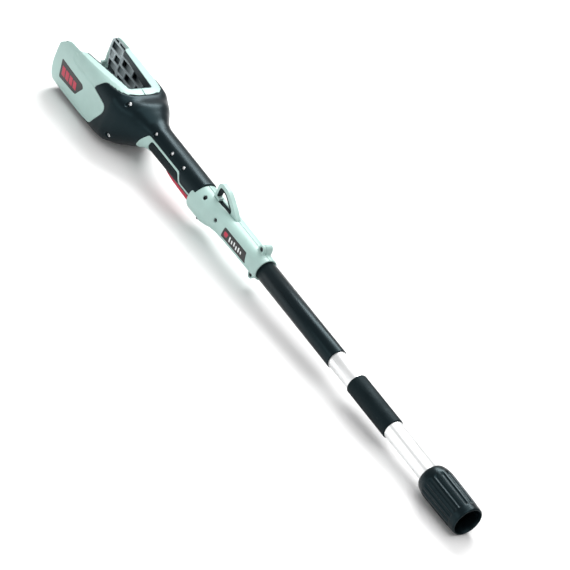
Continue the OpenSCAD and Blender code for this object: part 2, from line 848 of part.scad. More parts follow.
housing_right();
housing_left();
cheek_right();
cheek_left();
bay_liner_right();
bay_liner_left();
bay_floor();
terminal_block();
terminal_blades();
badge_right();
badge_left();
grip_trim();
grip_insert();
collar_right();
collar_left();
strap_eye();
side_label();
housing_screws();
neck_screws();
collar_screws();
clamp_screws();
clamp_nuts();
outer_tube();
end_bush();
control_board();
board_parts();
switch_body();
trigger_pin();
wiring_loom();
trigger();
switch_plunger();
lock_button();
trigger_spring();
lock_spring();
plunger_spring();
inner_tube();
slide_bush();
front_grip();
coupling_hub();
hub_screws();
nut_retainer();
o_ring();
connector_core();
contact_pins();
coil_lead();
coupling_nut();
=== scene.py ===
import json
import math

import bmesh
import bpy
import numpy as np
from mathutils import Matrix, Vector


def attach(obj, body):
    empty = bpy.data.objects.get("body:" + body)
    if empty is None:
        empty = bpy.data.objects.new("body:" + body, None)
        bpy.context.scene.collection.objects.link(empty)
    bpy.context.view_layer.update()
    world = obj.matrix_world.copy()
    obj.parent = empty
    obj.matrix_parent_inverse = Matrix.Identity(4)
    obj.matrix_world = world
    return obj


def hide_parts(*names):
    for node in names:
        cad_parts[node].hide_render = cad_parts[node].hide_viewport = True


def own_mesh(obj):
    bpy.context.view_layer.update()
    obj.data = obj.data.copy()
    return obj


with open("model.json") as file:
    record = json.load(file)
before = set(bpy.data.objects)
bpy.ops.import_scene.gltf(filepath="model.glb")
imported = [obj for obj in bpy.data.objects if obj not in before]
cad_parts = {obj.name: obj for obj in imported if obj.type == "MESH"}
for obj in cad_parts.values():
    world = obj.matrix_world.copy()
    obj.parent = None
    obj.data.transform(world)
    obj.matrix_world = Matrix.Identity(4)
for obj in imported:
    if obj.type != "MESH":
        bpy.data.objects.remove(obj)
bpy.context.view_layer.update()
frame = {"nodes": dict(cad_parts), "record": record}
MM = 0.001
VOXEL = 0.8

# Stations along the pole
HEAD_X, BAY_X, BULB_X, SHOULDER_X, COLLAR_X = -1147, -1000, -905, -770, -575
OUTER_FRONT_X, GRIP_REAR_X, GRIP_FRONT_X, NUT_X = -365, -309, -205, -103
FOOT_Z = -66
TUBE_R, OUTER_R = 16, 17.5
# Battery bay: the step behind its narrow part, the wide mouth's half width and floor, and the side walls
STEP_X, MOUTH_W, MOUTH_Z, MOUTH_TOP, PLATE_T = BAY_X - 98, 48, -30, 23.5, 2
BAY_IN, BAY_OUT, BAY_FLOOR = 38, 42, -46

# x, centre z, half width, half height, squareness
HOUSING = [
    (-1157, -14, 56, 54, 4),
    (-1060, -14, 57, 54, 4),
    (-1008, -14, 57, 53.5, 4),
    (-985, -13, 57, 51, 4),
    (-966, -11.5, 53, 46.5, 3.2),
    (-946, -6, 43.5, 42, 2.6),
    (-932, -4, 35, 35, 2.3),
    (-915, -2, 26, 26.5, 2.2),
    (-900, -1, 23.2, 23.6, 2.2),
    (-845, -1, 22.8, 23.2, 2.2),
    (-762, -1, 22.4, 22.8, 2.2),
]
COLLAR = [
    (-770, -8, 26.4, 26.4, 2),
    (-767, -8, 27, 27, 2),
    (-736, -8, 27, 27, 2),
    (-726, -7, 25.6, 25.8, 2),
    (-713, -4.4, 23.6, 23.8, 2),
    (-704, -2.2, 22.4, 22.4, 2),
    (-690, -1, 21.6, 21.6, 2),
    (-615, 0, 20.5, 20.5, 2),
    (-575, 0, 20.3, 20.3, 2),
]


# ---------- Small geometry helpers ----------


def monotone(x, xs, ys):
    """Smooth curve through (xs, ys) that never overshoots."""
    xs, ys = np.asarray(xs, float), np.asarray(ys, float)
    h = np.diff(xs)
    d = np.diff(ys) / h
    m = np.zeros(len(xs))
    for i in range(1, len(xs) - 1):
        if d[i - 1] * d[i] > 0:
            a, b = 2 * h[i] + h[i - 1], h[i] + 2 * h[i - 1]
            m[i] = (a + b) / (a / d[i - 1] + b / d[i])
    m[0], m[-1] = d[0], d[-1]
    x = np.clip(x, xs[0], xs[-1])
    i = np.clip(np.searchsorted(xs, x, side="right") - 1, 0, len(h) - 1)
    t = (x - xs[i]) / h[i]
    return (
        (2 * t**3 - 3 * t**2 + 1) * ys[i]
        + (t**3 - 2 * t**2 + t) * h[i] * m[i]
        + (3 * t**2 - 2 * t**3) * ys[i + 1]
        + (t**3 - t**2) * h[i] * m[i + 1]
    )


def station_at(stations, x):
    """Centre z, half width, half height and squareness of the smooth loft at x."""
    s = np.array(stations, float)
    return [monotone(x, s[:, 0], s[:, i]) for i in range(1, 5)]


def new_object(name, verts, faces, smooth=True):
    """Object from points in millimetres, with its normals made to point outward."""
    mesh = bpy.data.meshes.new(name)
    mesh.from_pydata([tuple(float(c) * MM for c in v) for v in verts], [], faces)
    bm = bmesh.new()
    bm.from_mesh(mesh)
    bmesh.ops.recalc_face_normals(bm, faces=bm.faces)
    bm.to_mesh(mesh)
    bm.free()
    obj = bpy.data.objects.new(name, mesh)
    bpy.context.scene.collection.objects.link(obj)
    if smooth:
        mesh.polygons.foreach_set("use_smooth", [True] * len(mesh.polygons))
    return obj


def drop(obj):
    mesh = obj.data
    bpy.data.objects.remove(obj)
    bpy.data.meshes.remove(mesh)


def copy_of(obj, name="copy"):
    made = bpy.data.objects.new(name, obj.data.copy())
    bpy.context.scene.collection.objects.link(made)
    return made


def apply(obj):
    """Turns an object's modifiers into plain mesh."""
    bpy.context.view_layer.update()
    dg = bpy.context.evaluated_depsgraph_get()
    mesh = bpy.data.meshes.new_from_object(obj.evaluated_get(dg))
    obj.modifiers.clear()
    old = obj.data
    obj.data = mesh
    bpy.data.meshes.remove(old)
    return obj


def combine(obj, other, how):
    """Boolean of obj with other, which is used up: DIFFERENCE, UNION or INTERSECT."""
    m = obj.modifiers.new("combine", "BOOLEAN")
    m.operation, m.object, m.solver = how, other, "MANIFOLD"
    apply(obj)
    drop(other)
    return obj


def cut(obj, *others):
    for o in others:
        combine(obj, o, "DIFFERENCE")
    return obj


def add(obj, *others):
    for o in others:
        combine(obj, o, "UNION")
    return obj


def inside(obj, other):
    return combine(obj, other, "INTERSECT")


def soften(obj, name, voxel=None, smooth=4, keep=0.4):
    """Gives a solid evenly rounded edges: a fine remesh, a little smoothing, then fewer faces."""
    obj.name = obj.data.name = name
    m = obj.modifiers.new("remesh", "REMESH")
    m.mode, m.voxel_size, m.use_smooth_shade = "VOXEL", (voxel or VOXEL) * MM, True
    apply(obj)
    m = obj.modifiers.new("smooth", "SMOOTH")
    m.factor, m.iterations = 0.5, smooth
    m = obj.modifiers.new("thin", "DECIMATE")
    m.ratio = keep
    apply(obj)
    obj.name = obj.data.name = name
    obj.data.polygons.foreach_set("use_smooth", [True] * len(obj.data.polygons))
    return obj


def bevel(obj, width, segments=3):
    """Rounds every edge sharper than 30 degrees."""
    m = obj.modifiers.new("bevel", "BEVEL")
    m.width, m.segments, m.limit_method = width * MM, segments, "ANGLE"
    m.angle_limit, m.harden_normals = math.radians(30), True
    m = obj.modifiers.new("normals", "WEIGHTED_NORMAL")
    m.keep_sharp = True
    return apply(obj)


def rounded(points, radius=0.0, steps=6):
    """Closed outline with each corner rounded; a third item of a point is its own radius."""
    out = []
    n = len(points)
    for i, p in enumerate(points):
        r = p[2] if len(p) > 2 else radius
        q, s = points[i - 1], points[(i + 1) % n]
        p, q, s = (Vector(v[:2]) for v in (p, q, s))
        if r <= 0:
            out.append(tuple(p))
            continue
        a = p + (q - p).normalized() * min(r, 0.48 * (q - p).length)
        b = p + (s - p).normalized() * min(r, 0.48 * (s - p).length)
        for k in range(steps + 1):
            t = k / steps
            out.append(tuple(a * (1 - t) ** 2 + p * 2 * t * (1 - t) + b * t * t))
    return out


def extruded(outline, lo, hi, place):
    """Solid from an outline of (u, v) between two levels w; place(u, v, w) gives each point."""
    n = len(outline)
    verts = [place(u, v, w) for w in (lo, hi) for u, v in outline]
    faces = [(i, (i + 1) % n, n + (i + 1) % n, n + i) for i in range(n)]
    faces += [tuple(range(n)), tuple(range(2 * n - 1, n - 1, -1))]
    return new_object("solid", verts, faces, smooth=False)


def prism(outline, y0, y1):
    """Solid along Y from an outline of (x, z)."""
    return extruded(outline, y0, y1, lambda x, z, y: (x, y, z))


def prism_up(outline, z0, z1):
    """Solid along Z from an outline of (x, y)."""
    return extruded(outline, z0, z1, lambda x, y, z: (x, y, z))


def prism_long(outline, x0, x1):
    """Solid along X from an outline of (y, z)."""
    return extruded(outline, x0, x1, lambda y, z, x: (x, y, z))


def block(x0, x1, y0, y1, z0, z1):
    return prism([(x0, z0), (x1, z0), (x1, z1), (x0, z1)], y0, y1)


def loft(stations, grow=0.0, step=3.0, n=120):
    """Closed smooth loft through rounded-square stations."""
    x0, x1 = stations[0][0], stations[-1][0]
    xs = np.linspace(x0, x1, int((x1 - x0) / step) + 1)
    zc, a, b, e = station_at(stations, xs)
    t = 2 * np.pi * (np.arange(n) + 0.5) / n
    c, d = np.cos(t), np.sin(t)
    verts, faces = [], []
    for k, x in enumerate(xs):
        y = (a[k] + grow) * np.sign(c) * np.abs(c) ** (2 / e[k])
        z = zc[k] + (b[k] + grow) * np.sign(d) * np.abs(d) ** (2 / e[k])
        verts += [(x, y[i], z[i]) for i in range(n)]
    for k in range(len(xs) - 1):
        for i in range(n):
            j = (i + 1) % n
            faces.append((k * n + i, k * n + j, (k + 1) * n + j, (k + 1) * n + i))
    faces += [tuple(range(n)), tuple(range(len(verts) - 1, len(verts) - n - 1, -1))]
    return new_object("loft", verts, faces)


def lathe(profile, name, n=96, shape=None):
    """Ring about the X axis from a closed profile of (x, r); shape(x, r, angle) changes the radius."""
    m = len(profile)
    verts, faces = [], []
    for i in range(n):
        t = 2 * math.pi * i / n
        for x, r in profile:
            q = shape(x, r, t) if shape else r
            verts.append((x, q * math.cos(t), q * math.sin(t)))
    for i in range(n):
        j = (i + 1) % n
        for k in range(m):
            l = (k + 1) % m
            faces.append((i * m + k, i * m + l, j * m + l, j * m + k))
    return new_object(name, verts, faces)


def rod(p, q, r, n=32):
    """Closed cylinder from p to q."""
    p, q = Vector(p), Vector(q)
    turn = (q - p).to_track_quat("Z", "Y").to_matrix()
    verts, faces = [], []
    for end in (p, q):
        for i in range(n):
            t = 2 * math.pi * i / n
            verts.append(tuple(end + turn @ Vector((r * math.cos(t), r * math.sin(t), 0))))
    faces = [(i, (i + 1) % n, n + (i + 1) % n, n + i) for i in range(n)]
    faces += [tuple(range(n)), tuple(range(2 * n - 1, n - 1, -1))]
    return new_object("rod", verts, faces)


def turned(profile, centre, direction, n=48, name="turned"):
    """Closed solid turned about an axis through centre, from a profile of (distance along, radius)."""
    turn = Vector(direction).to_track_quat("Z", "Y").to_matrix()
    c = Vector(centre)
    verts, faces = [], []
    inner = [p for p in profile if p[1] > 1e-6]
    for i in range(n):
        t = 2 * math.pi * i / n
        for h, r in inner:
            verts.append(tuple(c + turn @ Vector((r * math.cos(t), r * math.sin(t), h))))
    m = len(inner)
    for i in range(n):
        j = (i + 1) % n
        for k in range(m - 1):
            faces.append((i * m + k, i * m + k + 1, j * m + k + 1, j * m + k))
    for k, p in ((0, profile[0]), (m - 1, profile[-1])):
        verts.append(tuple(c + turn @ Vector((0, 0, p[0]))))
        hub = len(verts) - 1
        for i in range(n):
            faces.append((i * m + k, ((i + 1) % n) * m + k, hub))
    return new_object(name, verts, faces)


def join(objs, name):
    """One mesh from several, left as separate shells."""
    bm = bmesh.new()
    for o in objs:
        bm.from_mesh(o.data)
    mesh = bpy.data.meshes.new(name)
    bm.to_mesh(mesh)
    bm.free()
    for o in objs:
        drop(o)
    obj = bpy.data.objects.new(name, mesh)
    bpy.context.scene.collection.objects.link(obj)
    return obj


# ---------- Materials ----------


class Nodes:
    """A material's node tree with a Principled shader, in object coordinates."""

    def __init__(self, name):
        self.mat = bpy.data.materials.new(name)
        self.mat.use_nodes = True
        self.tree = self.mat.node_tree
        self.shader = self.tree.nodes["Principled BSDF"]
        self.place = self.tree.nodes.new("ShaderNodeTexCoord").outputs["Object"]

    def link(self, a, b):
        self.tree.links.new(a, b)

    def noise(self, scale, detail=3.0, rough=0.55, stretch=(1, 1, 1)):
        m = self.tree.nodes.new("ShaderNodeMapping")
        m.inputs["Scale"].default_value = stretch
        self.link(self.place, m.inputs["Vector"])
        n = self.tree.nodes.new("ShaderNodeTexNoise")
        n.inputs["Scale"].default_value = scale
        n.inputs["Detail"].default_value = detail
        n.inputs["Roughness"].default_value = rough
        self.link(m.outputs["Vector"], n.inputs["Vector"])
        return n.outputs["Fac"]

    def cells(self, scale):
        n = self.tree.nodes.new("ShaderNodeTexVoronoi")
        n.inputs["Scale"].default_value = scale
        self.link(self.place, n.inputs["Vector"])
        return n.outputs["Distance"]

    def spread(self, value, lo, hi, to_lo, to_hi):
        r = self.tree.nodes.new("ShaderNodeMapRange")
        for key, v in zip(("From Min", "From Max", "To Min", "To Max"), (lo, hi, to_lo, to_hi)):
            r.inputs[key].default_value = v
        self.link(value, r.inputs["Value"])
        return r.outputs["Result"]

    def math(self, how, a, b):
        m = self.tree.nodes.new("ShaderNodeMath")
        m.operation = how
        for i, v in enumerate((a, b)):
            if isinstance(v, (int, float)):
                m.inputs[i].default_value = v
            else:
                self.link(v, m.inputs[i])
        return m.outputs["Value"]

    def mix(self, fac, a, b):
        m = self.tree.nodes.new("ShaderNodeMix")
        m.data_type = "RGBA"
        self.link(fac, m.inputs[0])
        for i, v in ((6, a), (7, b)):
            if isinstance(v, tuple):
                m.inputs[i].default_value = (*v, 1)
            else:
                self.link(v, m.inputs[i])
        return m.outputs[2]

    def edges(self):
        g = self.tree.nodes.new("ShaderNodeNewGeometry")
        return self.spread(g.outputs["Pointiness"], 0.52, 0.62, 0, 1)

    def bump(self, height, strength, distance, under=None):
        b = self.tree.nodes.new("ShaderNodeBump")
        b.inputs["Strength"].default_value = strength
        b.inputs["Distance"].default_value = distance
        self.link(height, b.inputs["Height"])
        if under is not None:
            self.link(under, b.inputs["Normal"])
        return b.outputs["Normal"]

    def finish(self, color=None, rough=None, normal=None, **values):
        for socket, value in (("Base Color", color), ("Roughness", rough), ("Normal", normal)):
            if value is not None:
                self.link(value, self.shader.inputs[socket])
        for key, value in values.items():
            self.shader.inputs[key.replace("_", " ")].default_value = value
        return self.mat


def shade(color, k):
    return tuple(min(1.0, c * k) for c in color)


COOL = (0.5, 0.88, 1.0, 1)


def moulded(name, color, rough, grain=1600, bump=0.25, wear=0.35, lift=1.5, spec=0.5, tint=(1, 1, 1, 1)):
    """Moulded plastic: fine spark-eroded grain, cloudy gloss, and edges painted lighter: wear, and on the
    bay's black parts also a painted highlight.
    """
    m = Nodes(name)
    cloud = m.noise(14, 4, 0.6)
    base = m.mix(m.spread(cloud, 0.35, 0.65, 0, 1), shade(color, 0.93), shade(color, 1.06))
    edge_wear_and_sheen = m.math("MULTIPLY", m.edges(), m.spread(m.noise(90, 5, 0.7), 0.4, 0.65, 0, wear))
    base = m.mix(edge_wear_and_sheen, base, shade(color, lift))
    fine = m.noise(grain, 2, 0.5)
    r = m.spread(cloud, 0.3, 0.7, rough - 0.05, rough + 0.06)
    r = m.math("ADD", r, m.spread(fine, 0.3, 0.7, -0.03, 0.03))
    normal = m.bump(fine, bump, 0.0001)
    return m.finish(base, r, normal, Specular_IOR_Level=spec, Specular_Tint=tint)


def ribbed(name, dark, light, rough):
    """Dark moulded plastic whose rib tops, at set distances from the middle plane, are painted light grey: a
    painted highlight for light glancing off the ribs.
    """
    m = Nodes(name)
    split = m.tree.nodes.new("ShaderNodeSeparateXYZ")
    m.link(m.place, split.inputs["Vector"])
    y = m.math("ABSOLUTE", split.outputs["Y"], 0.0)
    wall = m.spread(y, (BAY_IN + 0.5) * MM, (BAY_IN + 2.6) * MM, 1, 0)
    mouth = m.math("MULTIPLY", m.spread(y, (MOUTH_W - 1) * MM, (MOUTH_W - 0.4) * MM, 0, 1),
                   m.spread(y, (MOUTH_W + 0.5) * MM, (MOUTH_W + 2.6) * MM, 1, 0))
    top = m.math("MAXIMUM", wall, mouth)
    top = m.math("MULTIPLY", top, m.spread(m.noise(160, 4, 0.6), 0.3, 0.6, 0.75, 1))
    # Rib tops painted light grey against the dark pockets: painted highlight
    base = m.mix(top, dark, light)
    fine = m.noise(1500, 2, 0.5)
    r = m.spread(fine, 0.3, 0.7, rough - 0.04, rough + 0.04)
    return m.finish(base, r, m.bump(fine, 0.25, 0.0001), Specular_IOR_Level=0.18, Specular_Tint=COOL)


def soft_rubber(name, color, dots=420):
    """Soft-touch overmould with a small pebble pattern."""
    m = Nodes(name)
    pebble = m.spread(m.cells(dots), 0.1, 0.6, 1, 0)
    cloud = m.noise(30, 4, 0.6)
    base = m.mix(m.spread(cloud, 0.3, 0.7, 0, 1), shade(color, 0.8), shade(color, 1.25))
    r = m.spread(cloud, 0.3, 0.7, 0.46, 0.62)
    normal = m.bump(pebble, 0.35, 0.0004, m.bump(m.noise(2200, 2), 0.15, 0.0001))
    return m.finish(base, r, normal, Specular_IOR_Level=0.15, Specular_Tint=COOL)


def coated_tube(name, color, rough):
    """Black coated tube: even satin with faint length marks and light scuffs."""
    m = Nodes(name)
    drawn = m.noise(60, 5, 0.6, stretch=(0.25, 6, 6))
    scuff = m.spread(m.noise(220, 6, 0.75, stretch=(0.3, 1, 1)), 0.62, 0.72, 0, 0.35)
    base = m.mix(m.spread(drawn, 0.3, 0.7, 0, 1), shade(color, 0.85), shade(color, 1.15))
    base = m.mix(scuff, base, shade(color, 2.2))
    r = m.spread(drawn, 0.3, 0.7, rough - 0.05, rough + 0.06)
    r = m.math("ADD", r, m.math("MULTIPLY", scuff, 0.25))
    normal = m.bump(m.noise(1500, 3), 0.12, 0.0001)
    return m.finish(base, r, normal, Specular_IOR_Level=0.18, Specular_Tint=COOL)


def brushed_metal(name, color, rough):
    """Drawn metal: fine lines along the length, cloudy gloss and a few marks."""
    m = Nodes(name)
    lines = m.noise(9, 6, 0.7, stretch=(1.2, 260, 260))
    cloud = m.noise(22, 4, 0.6)
    base = m.mix(m.spread(lines, 0.3, 0.7, 0, 1), shade(color, 0.9), shade(color, 1.04))
    r = m.spread(cloud, 0.3, 0.7, rough - 0.05, rough + 0.07)
    r = m.math("ADD", r, m.spread(lines, 0.3, 0.7, -0.04, 0.05))
    normal = m.bump(lines, 0.08, 0.0001)
    return m.finish(base, r, normal, Metallic=0.7)


def plated(name, color, rough):
    """Zinc-plated screw heads and small metal parts: mottled gloss and tiny pits."""
    m = Nodes(name)
    mottle = m.noise(700, 5, 0.65)
    base = m.mix(m.spread(mottle, 0.3, 0.7, 0, 1), shade(color, 0.82), shade(color, 1.05))
    r = m.spread(mottle, 0.25, 0.75, rough - 0.08, rough + 0.12)
    normal = m.bump(m.noise(2600, 3), 0.2, 0.0001)
    return m.finish(base, r, normal, Metallic=1.0)


LIGHT = (0.365, 0.525, 0.49)
BLACK = (0.0036, 0.0067, 0.0083)
BAY_BLACK = (0.014, 0.019, 0.022)
NUT_BLACK = (0.003, 0.0056, 0.0071)
HUB_BLACK = (0.006, 0.008, 0.009)
RED = (0.50, 0.012, 0.045)
MARK_RED = (0.44, 0.012, 0.045)
PRINT = (0.006, 0.007, 0.008)
WHITE = (0.75, 0.78, 0.78)
MATS = {
    "light_shell": moulded("light_shell", LIGHT, 0.42, grain=1400, bump=0.2, wear=0.5, lift=1.12),
    "black_shell": moulded("black_shell", BLACK, 0.32, 1400, 0.22, 0.5, 2.6, spec=0.2, tint=COOL),
    "soft_grip": soft_rubber("soft_grip", (0.006, 0.009, 0.01)),
    # The bay's black parts have their edges painted up to four times lighter: partly wear, partly a painted
    # highlight.
    "bay_black": moulded("bay_black", BAY_BLACK, 0.38, 1500, 0.25, 0.9, 4.0, spec=0.3, tint=COOL),
    "bay_ribs_painted_highlight": ribbed("bay_ribs_painted_highlight", (0.006, 0.0095, 0.0115), (0.56, 0.64, 0.66), 0.42),
    "red_plastic": moulded("red_plastic", RED, 0.34, grain=1800, bump=0.12, wear=0.4, lift=1.3),
    "badge_print": moulded("badge_print", PRINT, 0.3, grain=2200, bump=0.06, wear=0.3, lift=2.0),
    "label_print": moulded("label_print", PRINT, 0.3, grain=2200, bump=0.06, wear=0.3, lift=2.0),
    "mark_red": moulded("mark_red", MARK_RED, 0.36, grain=2200, bump=0.06, wear=0.2, lift=1.2),
    "mark_white": moulded("mark_white", WHITE, 0.4, grain=2200, bump=0.06, wear=0.2, lift=1.1),
    "screw_steel": plated("screw_steel", (0.83, 0.85, 0.86), 0.26),
    # Near-black screw finish: painted shade, standing in for the shade in the collar's and clamps' deep screw
    # holes.
    "screw_dark_painted_shade": plated("screw_dark_painted_shade", (0.06, 0.065, 0.07), 0.4),
    "pole_black": coated_tube("pole_black", BLACK, 0.31),
    "pole_bright": brushed_metal("pole_bright", (0.93, 0.945, 0.945), 0.34),
    "grip_black": soft_rubber("grip_black", (0.0032, 0.006, 0.0074), dots=600),
    "nut_black": moulded("nut_black", NUT_BLACK, 0.3, 1300, 0.25, 0.6, 3.4, spec=0.2, tint=COOL),
    "hub_black": moulded("hub_black", HUB_BLACK, 0.45, 1500, 0.3, 0.3, 2.0, spec=0.25, tint=COOL),
    "seal_rubber": soft_rubber("seal_rubber", (0.01, 0.01, 0.01), dots=900),
    "spring_steel": plated("spring_steel", (0.6, 0.6, 0.62), 0.3),
    "contact_brass": plated("contact_brass", (0.83, 0.6, 0.26), 0.25),
    "board_green": moulded("board_green", (0.02, 0.14, 0.05), 0.4, grain=900, bump=0.2),
    "part_grey": moulded("part_grey", (0.42, 0.42, 0.43), 0.45),
    "lead_black": soft_rubber("lead_black", (0.015, 0.015, 0.016), dots=900),
}
SLOT_OF = {s["node"]: s["material_slot"] for s in frame["record"]["subparts"]}


def dress(obj, slot, body, *nodes, mat=None):
    """Gives a piece the material of its slot, or mat in its place, the body that it rides on, and hides the
    nodes that it stands for.
    """
    obj.data.materials.clear()
    obj.data.materials.append(MATS[mat or slot])
    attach(obj, body)
    if nodes:
        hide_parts(*nodes)
    return obj


for node_name, node in frame["nodes"].items():
    node.data.materials.clear()
    node.data.materials.append(MATS[SLOT_OF[node_name]])


# ---------- Head ----------

# Far outside the part, for cutting blocks
FAR = 200
# Depths under the outer surface: the housing's inside, the cheek's seat, and the cover's outside and back
WALL, SEAT, COVER_OUT, COVER_BACK = 5.2, 2.7, 0.9, 2.9


# Height of the head's top edge at its rear and front ends
TOP_REAR_X, TOP_FRONT_X, TOP_REAR_Z, TOP_FRONT_Z = HEAD_X + 18, BULB_X - 80, 27.5, 38


def head_outline(k):
    """Side view of the head and neck, k inside its outer surface."""
    x, z = HEAD_X + k, FOOT_Z + k
    return rounded([
        (TOP_REAR_X + k, TOP_REAR_Z - k, 5), (x + 2, 15.5, 4), (x, 12, 4), (x, -24, 12), (x + 6, -50, 10),
        (x + 12, z, 5), (SHOULDER_X + 20, z), (SHOULDER_X + 20, TOP_FRONT_Z - k),
        (TOP_FRONT_X, TOP_FRONT_Z - k),
    ])


def head_solid(k):
    return inside(loft(HOUSING, -k), prism(head_outline(k), -FAR, FAR))


def half(obj, side):
    """Keeps one side of the middle plane, a hair away from it so that the seam shows."""
    seam = 0.03
    y = (seam, FAR) if side > 0 else (-FAR, -seam)
    return inside(obj, block(-1300, 100, y[0], y[1], -FAR, FAR))


COVER = [
    (-1167, 60), (-1167, -46), (-1134, -60, 6), (-1062, -61, 10), (-1015, -52, 8), (-992, -14, 6),
    (-990, -4, 7), (-994, 3, 6), (-1032, 10, 5),
]
# The light cover with its arm over the shoulder, and the thicker panel inside that outline
CHEEK = rounded(COVER + [(-1018, 30, 6), (-971.5, 35), (-971.5, 60)])
PANEL = rounded(COVER + [(-1100, 10, 8), (-1106, 20, 6), (-1110, 60)])
# Thickness of the dark rim round the opening in the bay's roof
RIM_T = 1.6
MOUTH_X0 = HEAD_X + 4
# Rear edge and top of the wide mouth, where the light cover takes the whole wall
LIP = [
    (-1200, 60), (STEP_X + 0.5, 60), (STEP_X + 0.5, MOUTH_TOP + 0.1), (MOUTH_X0 + 7, MOUTH_TOP + 0.1),
    (MOUTH_X0 - 1.2, 14), (MOUTH_X0 + 0.8, -2), (MOUTH_X0 + 8.8, MOUTH_Z), (MOUTH_X0 + 12, -46),
    (-1200, -46),
]


def bay_plan(k):
    """Outline of the opening in the bay's roof from above, grown by k in front of the step."""
    return rounded([
        (-1200, -MOUTH_W), (STEP_X, -MOUTH_W, 5), (STEP_X, -36 - k, 6), (-990 + k, -21 - k, 4),
        (-990 + k, 21 + k, 4), (STEP_X, 36 + k, 6), (STEP_X, MOUTH_W, 5), (-1200, MOUTH_W),
    ])


def bay_room():
    """Everything that the open bay takes out of the head: narrow part, roof opening and wide mouth."""
    room = add(block(-1200, BAY_X, -BAY_OUT, BAY_OUT, BAY_FLOOR - 4, 24), prism_up(bay_plan(RIM_T), 10, 90))
    mouth = MOUTH_W + PLATE_T
    return add(room, block(-1200, STEP_X + PLATE_T, -mouth, mouth, MOUTH_Z, MOUTH_TOP + 0.1))


def screw_wells(places, r):
    """Counterbores from the right down to each screw's seat."""
    return [rod((x, -y, z), (x, -120, z), r) for x, z, y in places]


HEAD_SCREWS = [(-961, 28, 34), (-967, -38, 46)]
NECK_SCREWS = [(-899, 14, 14), (-849, 14, 14), (-813, 14, 14)]
COLLAR_SCREWS = [(-742, 13, 15), (-742, -29, 15), (-698, 3, 20)]
TRIGGER_X0, TRIGGER_X1, LOCK_X, LOCK_Z, LOCK_R = -859, -773, -847, -3, 7
GRIP_PANEL = rounded([
    (-935, -80), (-927, -28, 5), (-917, -8, 6), (-906, 7.6, 4), (-813, 7.6, 4), (-803, -6.5, 4),
    (-764, -6.5), (-764, -80),
])
GRIP_INSERT = rounded([
    (-903, -80), (-901, -12, 8), (-895, 4, 6), (-815, 4, 4), (-805, -10, 4), (-750, -10), (-750, -80),
])


def trigger_room():
    return block(TRIGGER_X0 - 3, TRIGGER_X1 + 6, -8, 8, -60, -12)


def lock_hole():
    return rod((LOCK_X, 10, LOCK_Z), (LOCK_X, 60, LOCK_Z), LOCK_R + 0.4)


core = head_solid(WALL)
seat = cut(prism(CHEEK, -FAR, FAR), head_solid(SEAT))
grip_seat = cut(prism(GRIP_PANEL, -FAR, FAR), loft(HOUSING, -2.1))
shell = cut(head_solid(0), core, seat, grip_seat, bay_room(), trigger_room(), prism(LIP, -FAR, FAR))
cut(shell, *screw_wells(HEAD_SCREWS, 4.3), *screw_wells(NECK_SCREWS, 3.7), lock_hole())
soften(shell, "shell", voxel=VOXEL * 1.1, keep=0.3)
for side, tag, name in ((-1, "right", "housing_R"), (1, "left", "housing_L")):
    piece = half(copy_of(shell), side)
    piece.name = name
    piece.data.set_sharp_from_angle(angle=math.radians(40))
    dress(piece, "black_shell", "handle", "housing_" + tag)
drop(shell)

cheeks = inside(head_solid(0), prism(PANEL, -FAR, FAR))
add(cheeks, inside(head_solid(COVER_OUT), prism(CHEEK, -FAR, FAR)))
cut(cheeks, head_solid(COVER_BACK), bay_room())
add(cheeks, cut(inside(head_solid(0), prism(LIP, -FAR, FAR)), head_solid(WALL), bay_room()))
for side, tag, name in ((-1, "right", "cheek_R"), (1, "left", "cheek_L")):
    piece = half(copy_of(cheeks), side)
    dress(soften(piece, name), "light_shell", "handle", "cheek_" + tag)
drop(cheeks)

# ---------- Battery bay ----------

LINER_X0, LINER_X1 = HEAD_X + 20, BAY_X - 4
RIB_ROWS = [(-44.5, -34), (-31, -18.5), (-15, -2.5), (1, 13.5), (17, 40)]
RIB_STEP, RIB_T = 33, 3.2


def rim_z(x):
    """Height of the head's top edge at x."""
    return TOP_REAR_Z + (x - TOP_REAR_X) * (TOP_FRONT_Z - TOP_REAR_Z) / (TOP_FRONT_X - TOP_REAR_X)


LINER = rounded([
    (LINER_X0 + 10, BAY_FLOOR, 3), (LINER_X0, MOUTH_Z, 3), (STEP_X, MOUTH_Z), (STEP_X, rim_z(STEP_X) - 5.4),
    (LINER_X1, rim_z(LINER_X1) - 5.4), (LINER_X1, BAY_FLOOR),
])
LINER_IN = rounded([
    (LINER_X0 + 12, BAY_FLOOR + 2, 3), (LINER_X0 + 6, MOUTH_Z - 2, 3), (STEP_X + 2, MOUTH_Z - 2),
    (STEP_X + 2, rim_z(STEP_X) - 7.6), (LINER_X1 - 2, rim_z(LINER_X1) - 7.6), (LINER_X1 - 2, BAY_FLOOR + 2),
])
MOUTH = [
    (MOUTH_X0 + 9, MOUTH_Z), (MOUTH_X0 + 1, -2), (MOUTH_X0 - 1, 14), (MOUTH_X0 + 7, MOUTH_TOP),
    (STEP_X + PLATE_T, MOUTH_TOP), (STEP_X + PLATE_T, MOUTH_Z),
]
MOUTH_IN = [
    (MOUTH_X0 + 10.5, MOUTH_Z), (MOUTH_X0 + 3, -2), (MOUTH_X0 + 1.2, 14), (MOUTH_X0 + 8.5, MOUTH_TOP - 1.8),
    (STEP_X - 1, MOUTH_TOP - 1.8), (STEP_X - 1, MOUTH_Z),
]


def across(y0, y1, s):
    """Range along Y on side s, low end first."""
    return min(y0 * s, y1 * s), max(y0 * s, y1 * s)


